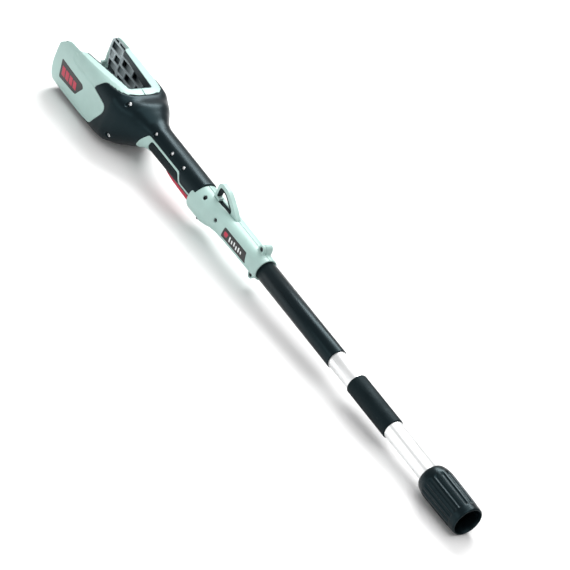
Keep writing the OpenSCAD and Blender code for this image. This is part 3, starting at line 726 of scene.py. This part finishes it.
def pockets(x0, x1, y_in, s, border):
    """Staggered pockets between ribs: deep at their rear end and running out to the front."""
    holes = []
    for row, (z0, z1) in enumerate(RIB_ROWS):
        x = x0 - RIB_STEP * (0.9 if row % 2 else 0.4)
        deep, shallow = (3.2, 3.2) if row == len(RIB_ROWS) - 1 else (3.3, 0.9)
        while x < x1:
            front = x + RIB_STEP - RIB_T
            plan = [(x, y_in - 6), (x, y_in + deep), (front, y_in + shallow), (front, y_in - 6)]
            plan = [(px, py * s) for px, py in plan]
            holes.append(inside(prism_up(plan, z0, z1), prism(border, *across(0, 70, s))))
            if row < len(RIB_ROWS) - 1:
                window = [(x + 1.5, z0 + 1.8), (x + 9, z0 + 2.6), (x + 7, z1 - 2.2), (x + 1.5, z1 - 1.8)]
                opening = prism(window, *across(y_in - 6, y_in + 20, s))
                holes.append(inside(opening, prism(border, *across(0, 80, s))))
            x += RIB_STEP
    for hole in [h for h in holes if not len(h.data.vertices)]:
        holes.remove(hole)
        drop(hole)
    return holes


def bay_liner(s, name):
    """Side wall of the bay with the wide mouth's plate, ribbed on the inside."""
    wall = cut(prism(LINER, *across(BAY_IN, 41.95, s)), *pockets(LINER_X0, LINER_X1, BAY_IN, s, LINER_IN))
    plate = prism(MOUTH, *across(MOUTH_W, MOUTH_W + 4.15, s))
    cut(plate, *pockets(MOUTH_X0, STEP_X, MOUTH_W, s, MOUTH_IN))
    add(plate, block(STEP_X, STEP_X + 1.95, *across(39, MOUTH_W + 3, s), MOUTH_Z, MOUTH_TOP))
    return soften(add(wall, plate), name, voxel=VOXEL * 0.7, smooth=2, keep=0.3)


for side, tag, name in ((-1, "right", "bay_liner_R"), (1, "left", "bay_liner_L")):
    # The bay's side walls carry a painted highlight on their rib tops.
    dress(bay_liner(side, name), "bay_black", "handle", "bay_liner_" + tag, mat="bay_ribs_painted_highlight")

tray = block(LINER_X0 + 10, BAY_X, -41.9, 41.9, BAY_FLOOR - 3.95, BAY_FLOOR - 0.05)
add(tray, block(BAY_X - 3.95, BAY_X - 0.05, -41.9, 41.9, BAY_FLOOR - 0.1, 22.9))
for y in (-31, 29):
    cut(tray, block(LINER_X0 + 16, BAY_X - 24, y, y + 2, BAY_FLOOR - 1.6, BAY_FLOOR + 1))
for y in (-33, -11, 11, 33):
    for z in (-22, -2):
        hole = rounded([(y - 8, z), (y + 8, z), (y + 8, z + 14), (y - 8, z + 14)], 2)
        cut(tray, prism_long(hole, BAY_X - 8, BAY_X - 2.2))
dress(soften(tray, "bay_floor_plate", keep=0.3), "bay_black", "handle", "bay_floor")

rim = inside(cut(prism_up(bay_plan(RIM_T), 22, 90), prism_up(bay_plan(0), 10, 95)), head_solid(0.7))
cut(rim, block(-1200, STEP_X + PLATE_T, -FAR, FAR, 0, 90))
dress(soften(rim, "bay_opening_rim", voxel=VOXEL * 0.6, smooth=2), "bay_black", "handle")

BLOCK_X, BLADE_Y = BAY_X - 4, (-18, -6, 6, 18)
contacts = block(BLOCK_X - 14, BLOCK_X, -24, 24, BAY_FLOOR, BAY_FLOOR + 16)
for y in BLADE_Y:
    cut(contacts, block(BLOCK_X - 15, BLOCK_X - 2, y - 1.6, y + 1.6, BAY_FLOOR + 5, BAY_FLOOR + 14))
contacts.name = "terminal_block_body"
dress(bevel(contacts, 0.6), "bay_black", "handle", "terminal_block")
blades = [
    block(BLOCK_X - 12, BLOCK_X - 2, y - 0.4, y + 0.4, BAY_FLOOR + 6, BAY_FLOOR + 13) for y in BLADE_Y
]
dress(bevel(join(blades, "terminal_blade_set"), 0.15, 2), "contact_brass", "handle", "terminal_blades")

# ---------- Badges on the cheeks ----------

BADGE_X = (HEAD_X + BAY_X) / 2 - 20
BADGE = [
    (BADGE_X - 32.5, -4), (BADGE_X + 35.5, -6), (BADGE_X + 40.5, -11), (BADGE_X + 26.5, -33),
    (BADGE_X - 25.5, -36.5),
]


def skin_patch(stations, outline, side, inner, outer, name, voxel):
    """Thin plate that follows a loft's side, cut to an outline of (x, z)."""
    plate = inside(loft(stations, outer, step=2), prism(outline, *across(0, FAR, side)))
    cut(plate, loft(stations, inner, step=2))
    return soften(plate, name, voxel=voxel, smooth=2, keep=0.3)


def slanted(x, width, z0, z1, lean):
    """Leaning bar with slightly rounded corners, as an outline of (x, z)."""
    return rounded([(x, z0), (x + width, z0), (x + width - lean, z1), (x - lean, z1)], 0.8)


# Bars on the badge
BAR_X0, BAR_STEP, BAR_W, BARS = BADGE_X - 21, 12.2, 9.8, 4
for side, tag, name in ((-1, "right", "badge_R"), (1, "left", "badge_L")):
    plate = skin_patch(HOUSING, rounded(BADGE, 3), side, -0.5, 0.2, name, 0.4)
    dress(plate, "badge_print", "handle", "badge_" + tag)
    bars = []
    for k in range(BARS):
        bar = slanted(BAR_X0 + BAR_STEP * k, BAR_W, -28.5 + 0.4 * k, -13 - 0.5 * k, 4)
        bars.append(skin_patch(HOUSING, bar, side, 0.0, 0.42, "bar", 0.35))
    dress(join(bars, name + "_mark"), "badge_print", "handle", mat="mark_red")

# ---------- Grip on the neck ----------

trim = inside(loft(HOUSING, 0.3), prism(GRIP_PANEL, -FAR, FAR))
inside(trim, block(-945, SHOULDER_X - 0.3, -FAR, FAR, -FAR, FAR))
cut(trim, loft(HOUSING, -2), prism(GRIP_INSERT, -FAR, FAR), trigger_room(), lock_hole())
dress(soften(trim, "grip_trim_line", voxel=VOXEL * 0.8), "light_shell", "handle", "grip_trim")
insert_in = rounded([
    (-902.6, -80), (-900.6, -12, 8), (-894.8, 3.6, 6), (-815.2, 3.6, 4), (-805.4, -10.4, 4),
    (-750, -10.4), (-750, -80),
])
insert = inside(loft(HOUSING, -1.1), prism(insert_in, -FAR, FAR))
inside(insert, block(-945, SHOULDER_X - 0.3, -FAR, FAR, -FAR, FAR))
cut(insert, loft(HOUSING, -2), trigger_room(), lock_hole())
dress(soften(insert, "grip_insert_pad", voxel=VOXEL * 0.8), "soft_grip", "handle", "grip_insert")

trigger = prism(rounded([
    (TRIGGER_X0, -16, 2), (TRIGGER_X0 + 4, -12.5, 2), (TRIGGER_X0 + 10, -14, 3), (TRIGGER_X1, -15, 1.5),
    (TRIGGER_X1, -30.5, 2), (TRIGGER_X1 - 4, -32, 3), (TRIGGER_X1 - 32, -31, 14), (TRIGGER_X0 + 20, -29.5, 8),
    (TRIGGER_X0 + 3, -26.5, 3), (TRIGGER_X0, -23, 2),
]), -7, 7)
cut(trigger, rod((TRIGGER_X0 + 5, -20, -17), (TRIGGER_X0 + 5, 20, -17), 2.05))
cut(trigger, rod((TRIGGER_X0 + 64, 0, -22), (TRIGGER_X0 + 64, 0, 0), 3.6))
for y in (-4, 0, 4):
    cut(trigger, block(TRIGGER_X1 - 52, TRIGGER_X1 - 12, y - 0.5, y + 0.5, -40, -29.9))
dress(soften(trigger, "trigger_lever", voxel=VOXEL * 0.7), "red_plastic", "trigger", "trigger")

button = turned([
    (14, 0), (14, 3), (16, 3), (16, 6.7), (16.4, 7), (23.0, 7), (23.8, 6.6), (24.15, 5.6), (24.0, 4.2),
    (23.7, 2.4), (23.6, 0),
], (LOCK_X, 0, LOCK_Z), (0, 1, 0), name="lock_button_cap")
dress(button, "red_plastic", "lock", "lock_button")

# ---------- Collar ----------

# Clamp ears: place, height and how far they reach to the right and to the left
EAR_X, EAR_Z, EAR_RIGHT, EAR_LEFT = COLLAR_X - 22, 25.5, -6, 13
EYE_X0, EYE_X1, EYE_T = SHOULDER_X + 32, SHOULDER_X + 99, 4.5
# The collar is squarer between its wide end and its clamp
COLLAR_LOOK = [(x, zc, a, b, 2.5 if -705 < x < -600 else e) for x, zc, a, b, e in COLLAR]

collar = loft(COLLAR_LOOK, step=2.5)
for s in (-1, 1):
    ear = rounded([
        (EAR_X - 7, 0), (EAR_X - 7, s * (EAR_Z + 2.5), 6), (EAR_X - 2.5, s * (EAR_Z + 6.9), 5),
        (EAR_X + 2.5, s * (EAR_Z + 6.9), 5), (EAR_X + 7, s * (EAR_Z + 2.5), 6), (EAR_X + 7, 0),
    ])
    add(collar, prism(ear if s > 0 else ear[::-1], EAR_RIGHT, EAR_LEFT))
hollow = inside(loft(COLLAR, -2.4), block(SHOULDER_X - 5, SHOULDER_X + 65, -FAR, FAR, -FAR, FAR))
cut(collar, hollow, rod((SHOULDER_X - 5, 0, -1), (SHOULDER_X + 8.4, 0, -1), 23.5, n=96))
cut(collar, rod((-811, 0, 0), (-500, 0, 0), OUTER_R + 0.05, n=96))
cut(collar, block(EYE_X0 - 0.3, EYE_X1 + 0.3, -EYE_T - 0.3, EYE_T + 0.3, 17.2, 40))
for s in (-1, 1):
    cut(collar, rod((EAR_X, -20, s * EAR_Z), (EAR_X, 20, s * EAR_Z), 2.1))
for side, tag, name in ((-1, "right", "collar_R"), (1, "left", "collar_L")):
    piece = half(copy_of(collar), side)
    if side < 0:
        cut(piece, *screw_wells(COLLAR_SCREWS, 4.2))
    for s in (-1, 1):
        cut(piece, rod((EAR_X, side * 3.4, s * EAR_Z), (EAR_X, side * 30, s * EAR_Z), 4.1))
    dress(soften(piece, name, voxel=VOXEL * 0.85), "light_shell", "handle", "collar_" + tag)
drop(collar)

eye = prism(rounded([
    (EYE_X0, 17.6), (EYE_X0, 40, 3), (EYE_X0 + 1.5, 44, 3), (EYE_X0 + 5, 47, 3), (EYE_X0 + 10, 48, 4),
    (EYE_X0 + 22, 47.5, 6), (EYE_X0 + 30, 45, 8), (EYE_X0 + 55, 31, 8), (EYE_X1, 21, 6), (EYE_X1, 17.6),
    (EYE_X0 + 48, 17.6), (EYE_X0 + 48, 25.5, 3), (EYE_X0 + 25, 39, 6), (EYE_X0 + 18, 40.6, 3),
    (EYE_X0 + 11, 41, 3), (EYE_X0 + 7.5, 39.5, 2), (EYE_X0 + 6.5, 36, 2), (EYE_X0 + 6.5, 23, 2),
    (EYE_X0 + 14, 23), (EYE_X0 + 14, 17.6),
]), -EYE_T, EYE_T)
dress(soften(eye, "strap_eye_loop", voxel=VOXEL * 0.7, smooth=6), "light_shell", "handle", "strap_eye")
# Dark strip lining the inside of the eye's opening
dark_strip = prism(rounded([
    (EYE_X0 + 6.0, 24), (EYE_X0 + 6.0, 36.2, 2), (EYE_X0 + 7.2, 40, 2), (EYE_X0 + 11, 41.6, 3),
    (EYE_X0 + 18, 41.2, 3), (EYE_X0 + 25.4, 39.6, 6), (EYE_X0 + 48.6, 26, 3), (EYE_X0 + 48.6, 20),
    (EYE_X0 + 46.6, 20), (EYE_X0 + 46.2, 24.6, 2), (EYE_X0 + 24.4, 37.4, 6), (EYE_X0 + 17.6, 38.9, 3),
    (EYE_X0 + 12, 39.1, 2), (EYE_X0 + 9.4, 38, 1.5), (EYE_X0 + 8.4, 35.5, 1.5), (EYE_X0 + 8.4, 24),
]), -EYE_T - 0.5, EYE_T + 0.5)
dress(soften(dark_strip, "strap_eye_dark_strip", voxel=VOXEL * 0.6, smooth=2), "soft_grip", "handle")

LABEL_X0, LABEL_X1 = SHOULDER_X + 97, SHOULDER_X + 166
label = rounded([(LABEL_X0, 9.5), (LABEL_X1 - 6, 9.5), (LABEL_X1, -8), (LABEL_X0 - 2, -9)], 2)
label = skin_patch(COLLAR_LOOK, label, -1, -0.5, 0.3, "side_label_plate", 0.4)
dress(label, "label_print", "handle", "side_label")
spot = rounded([(LABEL_X0 + 4, 5), (LABEL_X0 + 14, 5), (LABEL_X0 + 12, -3), (LABEL_X0 + 4, -3)], 2)
spot = skin_patch(COLLAR_LOOK, spot, -1, 0, 0.5, "side_label_spot", 0.35)
dress(spot, "label_print", "handle", mat="mark_red")
TICK_X0, TICK_STEP, TICK_W, TICKS = LABEL_X0 + 19, 6.5, 3.2, 6
ticks = []
for k in range(TICKS):
    tick = slanted(TICK_X0 + TICK_STEP * k, TICK_W, -4 + (k % 3), 5 - (k % 2) * 2, 1)
    ticks.append(skin_patch(COLLAR_LOOK, tick, -1, 0, 0.5, "tick", 0.35))
dress(join(ticks, "side_label_ticks"), "label_print", "handle", mat="mark_white")

# ---------- Screws ----------


def screw(x, z, y, r, length, shank):
    """Domed screw head on the right with a six-lobed recess, its seat y from the middle plane."""
    head = turned([
        (-length, 0), (-length, shank), (0, shank), (0, r), (0.7, r), (1.5, r * 0.86), (2.05, r * 0.55),
        (2.2, 0),
    ], (x, -y, z), (0, -1, 0))
    lobes = []
    for k in range(12):
        q = r * (0.46 if k % 2 == 0 else 0.34)
        t = math.pi * k / 6
        lobes.append((x + q * math.cos(t), z + q * math.sin(t)))
    return cut(head, prism(lobes, -y - 4, -y - 0.9))


def screws(name, places, node_name, r, length, shank, mat="screw_steel"):
    """One piece from all the screws of a node, at places of (x, z, seat's y)."""
    made = [screw(x, z, y, r, length, shank) for x, z, y in places]
    dress(join(made, name), "screw_steel", "handle", node_name, mat=mat)


screws("housing_screw_set", HEAD_SCREWS, "housing_screws", 4.0, 8, 1.6)
screws("neck_screw_set", NECK_SCREWS, "neck_screws", 3.5, 4, 1.5)
# The collar and clamp screws are painted near black as painted shade for their deep holes.
screws("collar_screw_set", COLLAR_SCREWS, "collar_screws", 2.9, 2, 1.4, mat="screw_dark_painted_shade")
clamp_places = [(EAR_X, s * EAR_Z, 3.4) for s in (-1, 1)]
screws("clamp_screw_set", clamp_places, "clamp_screws", 3.8, 10, 1.95, mat="screw_dark_painted_shade")

# ---------- Pole ----------

OUTER_REAR_X, TUBE_REAR_X = -751, -665
outer = lathe([
    (OUTER_REAR_X, OUTER_R - 0.02), (OUTER_FRONT_X - 1.4, OUTER_R - 0.02),
    (OUTER_FRONT_X - 0.5, OUTER_R - 0.2), (OUTER_FRONT_X, OUTER_R - 0.7),
    (OUTER_FRONT_X - 0.3, OUTER_R - 0.85), (OUTER_FRONT_X - 12, OUTER_R - 0.85),
    (OUTER_FRONT_X - 12, TUBE_R + 0.66), (OUTER_REAR_X, TUBE_R + 0.66),
], name="outer_tube_sleeve")
dress(outer, "pole_black", "handle", "outer_tube")
bush = lathe([
    (OUTER_FRONT_X - 11.9, OUTER_R - 0.9), (OUTER_FRONT_X - 1.2, OUTER_R - 0.9),
    (OUTER_FRONT_X - 0.5, OUTER_R - 1.0), (OUTER_FRONT_X - 0.8, TUBE_R + 0.3),
    (OUTER_FRONT_X - 1.6, TUBE_R + 0.07), (OUTER_FRONT_X - 11.9, TUBE_R + 0.07),
], name="end_bush_ring")
dress(bush, "hub_black", "handle", "end_bush")
TUBE_FRONT_X, TUBE_BORE_R = NUT_X + 40, TUBE_R - 1.5
inner = lathe([
    (TUBE_REAR_X, TUBE_R), (TUBE_FRONT_X - 0.4, TUBE_R), (TUBE_FRONT_X, TUBE_R - 0.4),
    (TUBE_FRONT_X, TUBE_BORE_R), (TUBE_REAR_X, TUBE_BORE_R),
], name="inner_tube_drawn")
dress(inner, "pole_bright", "pole", "inner_tube")
grip = lathe([
    (GRIP_REAR_X, TUBE_R + 0.02), (GRIP_REAR_X, 17.0), (GRIP_REAR_X + 0.3, 17.5), (GRIP_REAR_X + 1.0, 17.9),
    (GRIP_REAR_X + 2.0, 18), (GRIP_FRONT_X - 2.0, 18), (GRIP_FRONT_X - 1.0, 17.9), (GRIP_FRONT_X - 0.3, 17.5),
    (GRIP_FRONT_X, 17.0), (GRIP_FRONT_X, TUBE_R + 0.02),
], name="front_grip_sleeve")
dress(grip, "grip_black", "pole", "front_grip")

# ---------- Coupling nut ----------

SOCKET_R, GROOVE_R, CHAMBER_R = 23.5, 25, 22.4
# Flutes: how many, half width as a share of the pitch, ends, and depth
FLUTES, FLUTE_HALF, FLUTE_X0, FLUTE_X1, FLUTE_DEPTH = 16, 0.3, -83, -13, 1.7
# Outside of the nut: x, radius
NUT_OUT = [
    (NUT_X, 18.3), (-102.6, 19.2), (-101.8, 21), (-99.4, 23.2), (-95.5, 25), (-90.5, 26.3), (-85, 27.2),
    (-79, 27.5), (-43, 27.2), (-6, 26.2), (-2, 26.0), (-0.8, 25.4), (0, 24.5),
]


def nut_profile():
    """Closed section of the nut, with rings close enough together for the flutes."""
    xs = np.concatenate([np.linspace(NUT_X, -84, 20), np.linspace(-83, -12, 56), np.linspace(-11, 0, 14)])
    rs = monotone(xs, [p[0] for p in NUT_OUT], [p[1] for p in NUT_OUT])
    bore = [
        (0, SOCKET_R + 0.5), (-0.6, SOCKET_R), (-50, SOCKET_R), (-50, GROOVE_R), (-55.0, GROOVE_R),
        (-55.0, CHAMBER_R), (-97.3, CHAMBER_R), (-97.3, 19), (-99, 19), (-99, TUBE_R + 0.35),
        (-102.6, TUBE_R + 0.35), (NUT_X, TUBE_R + 0.75),
    ]
    return list(zip(xs, rs)) + bore


def fluted(x, r, angle):
    """Radius of the nut with its rounded flutes, which fade out at both ends and miss the bore."""
    if r < 24 or not FLUTE_X0 < x < FLUTE_X1 or (abs(x + 52.5) < 3.2 and r < 25.5):
        return r
    end = min(1.0, (x - FLUTE_X0) / 6, (FLUTE_X1 - x) / 4)
    turn = (angle * FLUTES / (2 * math.pi)) % 1 - 0.5
    dip = math.cos(math.pi / 2 * abs(turn) / FLUTE_HALF) if abs(turn) < FLUTE_HALF else 0.0
    return r - FLUTE_DEPTH * math.sin(math.pi / 2 * end) * dip ** 0.6


nut = lathe(nut_profile(), name="coupling_nut_fluted", n=FLUTES * 28, shape=fluted)
dress(nut, "nut_black", "nut", "coupling_nut")

# ---------- Springs ----------

# Node, joint, axis, which end of its box stays put, and how far the other end travels
SPRINGS = [
    ("trigger_spring", "trigger_pull", 2, 1, 5.6),
    ("plunger_spring", "plunger_press", 2, 1, 3.2),
    ("lock_spring", "lock_press", 1, 0, 3.0),
]
for node_name, joint, axis, fixed, travel in SPRINGS:
    coil = copy_of(frame["nodes"][node_name], node_name + "_wire")
    dress(coil, "spring_steel", "handle", node_name)
    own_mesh(coil)


# ---------- Floor, light and camera ----------

# Point that the lights look at
AIM = (-0.6, 0, 0)


def area(name, where, size, power):
    """Soft panel that looks at the middle of the part."""
    data = bpy.data.lights.new(name, "AREA")
    data.shape, data.size, data.size_y, data.energy = "RECTANGLE", size[0], size[1], power
    obj = bpy.data.objects.new(name, data)
    obj.location = where
    obj.rotation_euler = (Vector(AIM) - Vector(where)).to_track_quat("-Z", "Y").to_euler()
    bpy.context.scene.collection.objects.link(obj)


# The camera's place and focal length put the part where the photo has it
CAMERA_AT, LENS, SENSOR = (2.747, -3.619, 3.268), 239.4, 36
cam_data = bpy.data.cameras.new("camera")
cam_data.lens, cam_data.sensor_width = LENS, SENSOR
cam_data.clip_start, cam_data.clip_end = 0.1, 60
cam = bpy.data.objects.new("camera", cam_data)
right, back = Vector((0.520, 0.781, 0.345)), Vector((0.558, -0.617, 0.555))
back.normalize()
right = (right - back * right.dot(back)).normalized()
up = back.cross(right)
turn = Matrix((right, up, back)).transposed().to_4x4()
cam.matrix_world = Matrix.Translation(CAMERA_AT) @ turn
bpy.context.scene.collection.objects.link(cam)
bpy.context.scene.camera = cam

# The part lies on its head and its nut, so the floor slopes a little in the part's frame
FLOOR_HALF, FLOOR_X, FLOOR_Z, FLOOR_TILT = 14, -0.998, -0.0665, 2.3
corners = [(a * FLOOR_HALF, b * FLOOR_HALF) for a, b in ((-1, -1), (1, -1), (1, 1), (-1, 1))]
slope = math.tan(math.radians(FLOOR_TILT))
floor_mesh = bpy.data.meshes.new("floor")
floor_mesh.from_pydata([(x, y, FLOOR_Z + (x - FLOOR_X) * slope) for x, y in corners], [], [(0, 1, 2, 3)])
floor = bpy.data.objects.new("floor", floor_mesh)
bpy.context.scene.collection.objects.link(floor)
f = Nodes("floor_paper")
paper = f.mix(f.spread(f.noise(3, 3), 0.3, 0.7, 0, 1), (0.86, 0.86, 0.86), (0.9, 0.9, 0.9))
f.finish(paper, Roughness=0.8)
floor_mesh.materials.append(f.mat)

WORLD_STRENGTH = 0.48
world = bpy.data.worlds.new("world")
world.use_nodes = True
world.node_tree.nodes["Background"].inputs["Color"].default_value = (1, 1, 1, 1)
world.node_tree.nodes["Background"].inputs["Strength"].default_value = WORLD_STRENGTH
bpy.context.scene.world = world
area("key", (-1.9, 1.3, 1.9), (1.6, 1.0), 70)
area("top", (-0.3, 0.2, 3.2), (3.6, 2.4), 66)
area("fill", (-0.9, -3.0, 0.9), (3.0, 1.0), 20)
bpy.context.scene.view_settings.view_transform = "Standard"
